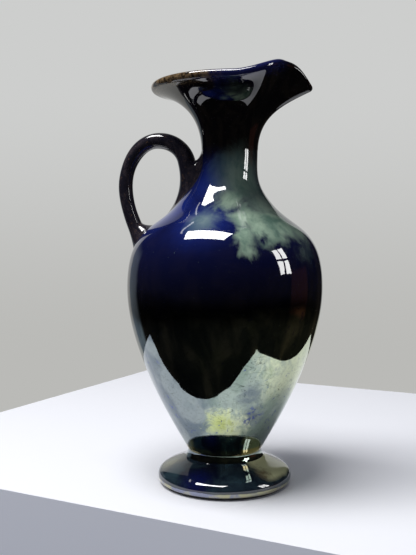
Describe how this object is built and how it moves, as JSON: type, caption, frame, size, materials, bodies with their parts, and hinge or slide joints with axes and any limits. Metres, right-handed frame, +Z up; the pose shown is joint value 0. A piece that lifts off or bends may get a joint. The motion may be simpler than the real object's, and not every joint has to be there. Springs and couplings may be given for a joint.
{
  "type": "ewer",
  "caption": "Glazed ceramic ewer with a loop handle, a pinched pouring lip, a narrow neck and a cushion-shaped foot, for holding and pouring liquid.",
  "frame": {"origin": "on the vessel's axis, at the level that the standing ring of the foot rests on", "axes": "+Z up along the vessel's axis; +X towards the pouring lip, so the handle is on the -X side; +Y to the left of the pouring lip seen from behind the handle"},
  "size_m": [0.1362, 0.1284, 0.2707],
  "materials": {
    "glaze_body": "dark cobalt lustre glaze, high gloss, green-grey clouds",
    "glaze_neck": "near-black cobalt lustre glaze, high gloss, rust-brown where it thins on the lip",
    "glaze_handle": "brown-black glaze, high gloss, rust flecks",
    "glaze_foot": "blue-black lustre glaze, high gloss, bare clay on the standing ring",
    "glaze_join": "pooled cobalt glaze over luting slip, high gloss"
  },
  "bodies": {
    "root": {"foot": "glaze_foot", "foot_slip": "glaze_join", "body": "glaze_body", "neck_slip": "glaze_join", "neck": "glaze_neck", "handle": "glaze_handle", "handle_upper_slip": "glaze_join", "handle_lower_slip": "glaze_join"}
  },
  "joints": []
}
